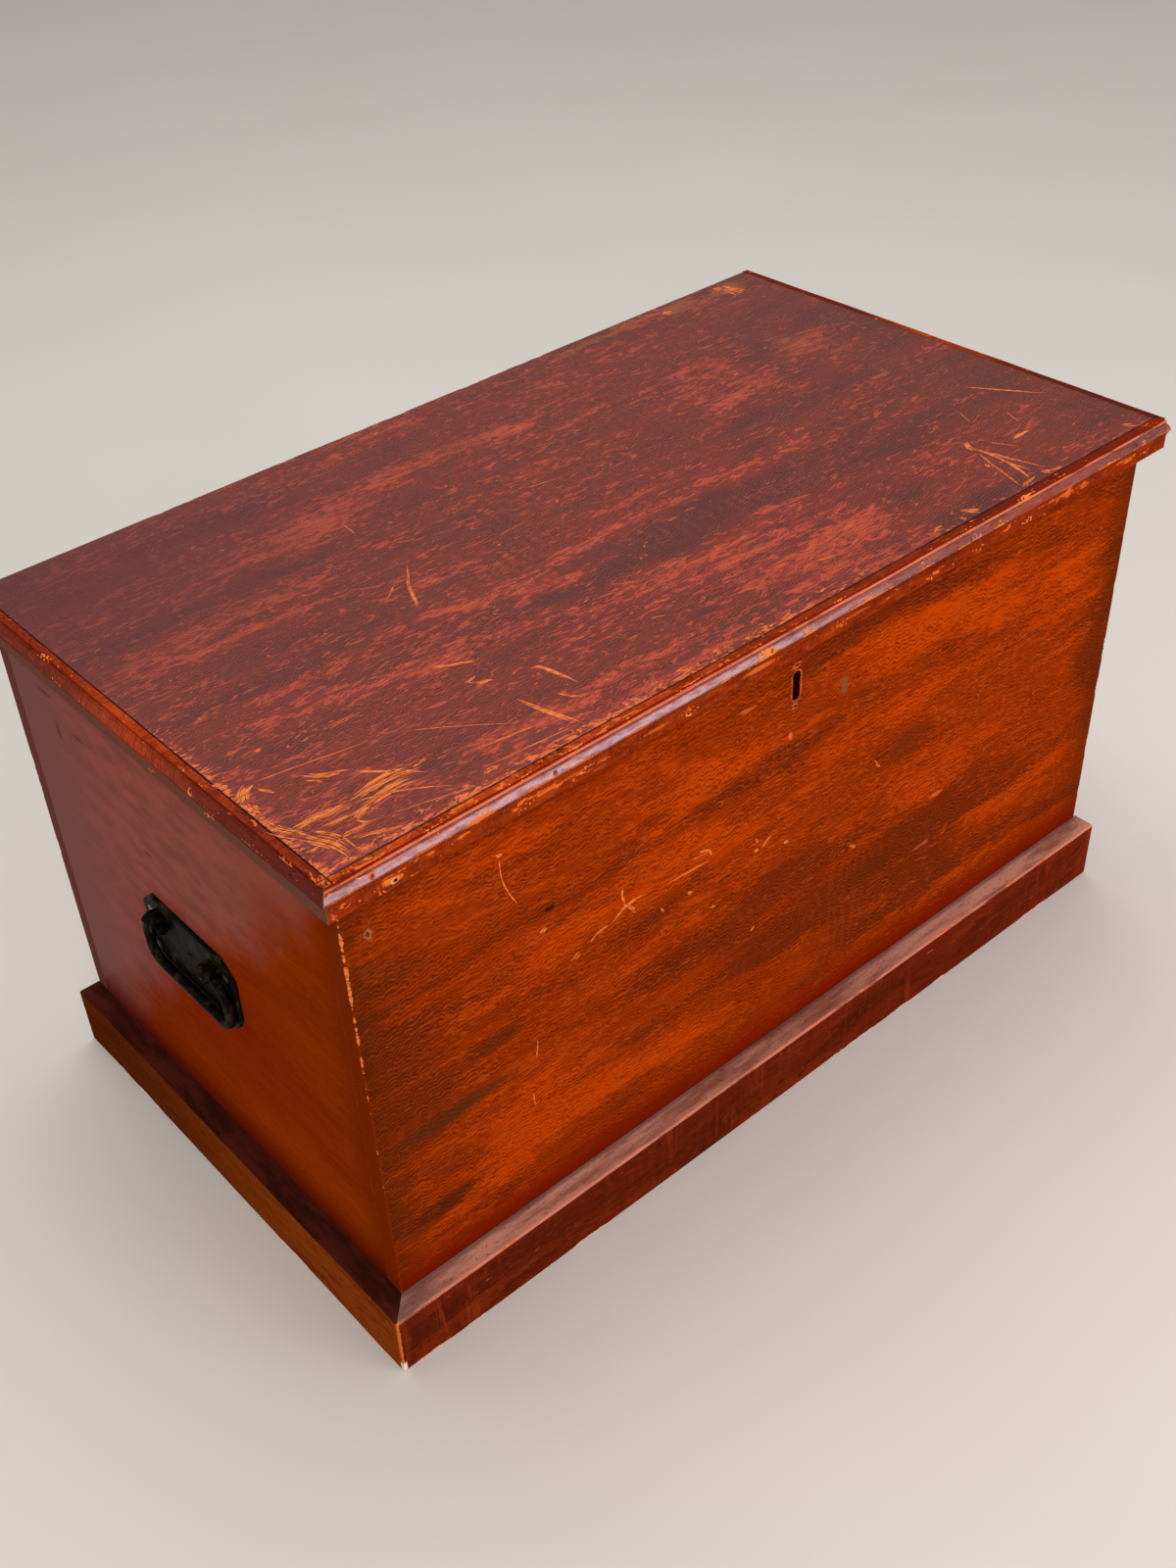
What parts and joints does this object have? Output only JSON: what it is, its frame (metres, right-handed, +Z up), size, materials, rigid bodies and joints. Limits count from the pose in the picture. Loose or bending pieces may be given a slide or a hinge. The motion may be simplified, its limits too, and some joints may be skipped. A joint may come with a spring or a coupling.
{
  "type": "wooden chest",
  "caption": "Low wooden chest with a hinged lid edged in moulding, a plinth on the front and left end, a box lock behind a keyhole and a drop handle on each end.",
  "frame": {"origin": "on the floor, in the middle of the whole outline seen from above", "axes": "+X along the chest's length to its right end as seen from the front, +Y from the front to the back, +Z up"},
  "size_m": [0.94, 0.54, 0.526],
  "materials": {
    "outer_boards": "worn satin stain",
    "lid_wood": "worn satin stain with scratches",
    "moulding_wood": "worn satin stain",
    "plinth_wood": "worn satin stain",
    "bare_pine": "bare sawn wood",
    "nail_iron": "dark, rusted",
    "handle_iron": "dark, worn",
    "screw_steel": "dark, worn",
    "hinge_iron": "dark, worn",
    "lock_iron": "dull, worn"
  },
  "bodies": {
    "carcass": {"back_board": "outer_boards", "back_cleat": "bare_pine", "back_nails": "nail_iron", "bottom_nails": "nail_iron", "bottom_plank_1": "bare_pine", "bottom_plank_2": "bare_pine", "bottom_plank_3": "bare_pine", "bottom_plank_4": "bare_pine", "bottom_plank_5": "bare_pine", "front_board": "outer_boards", "front_cleat": "bare_pine", "front_nails": "nail_iron", "left_end": "outer_boards", "left_handle_plate": "handle_iron", "left_handle_screws": "screw_steel", "left_hinge_body_leaf": "hinge_iron", "left_hinge_body_screws": "screw_steel", "left_hinge_pin": "hinge_iron", "lock_case": "lock_iron", "lock_key_pin": "lock_iron", "lock_plate": "lock_iron", "lock_screws": "screw_steel", "lock_spring": "lock_iron", "plinth_front": "plinth_wood", "plinth_left": "plinth_wood", "plinth_nails": "nail_iron", "right_end": "outer_boards", "right_handle_plate": "handle_iron", "right_handle_screws": "screw_steel", "right_hinge_body_leaf": "hinge_iron", "right_hinge_body_screws": "screw_steel", "right_hinge_pin": "hinge_iron"},
    "lid": {"lid_board": "lid_wood", "lid_moulding_front": "moulding_wood", "lid_moulding_left": "moulding_wood", "lid_moulding_right": "moulding_wood", "moulding_nails": "nail_iron", "left_hinge_lid_leaf": "hinge_iron", "left_hinge_lid_screws": "screw_steel", "right_hinge_lid_leaf": "hinge_iron", "right_hinge_lid_screws": "screw_steel", "link_plate": "lock_iron", "link_plate_screws": "screw_steel"},
    "left_bail": {"left_bail": "handle_iron"},
    "right_bail": {"right_bail": "handle_iron"},
    "bolt": {"lock_bolt": "lock_iron"}
  },
  "joints": [
    {"name": "lid_hinge", "type": "hinge", "parent": "carcass", "child": "lid", "pos_m": [0.0025, 0.2665, 0.506], "axis": [-1, 0, 0], "range_deg": [0, 100]},
    {"name": "left_bail_swing", "type": "hinge", "parent": "carcass", "child": "left_bail", "pos_m": [-0.456, 0.0075, 0.287], "axis": [0, 1, 0], "range_deg": [0, 90]},
    {"name": "right_bail_swing", "type": "hinge", "parent": "carcass", "child": "right_bail", "pos_m": [0.461, 0.0075, 0.287], "axis": [0, -1, 0], "range_deg": [0, 90]},
    {"name": "bolt_slide", "type": "slide", "parent": "carcass", "child": "bolt", "axis": [1, 0, 0], "range_m": [0, 0.009]}
  ]
}
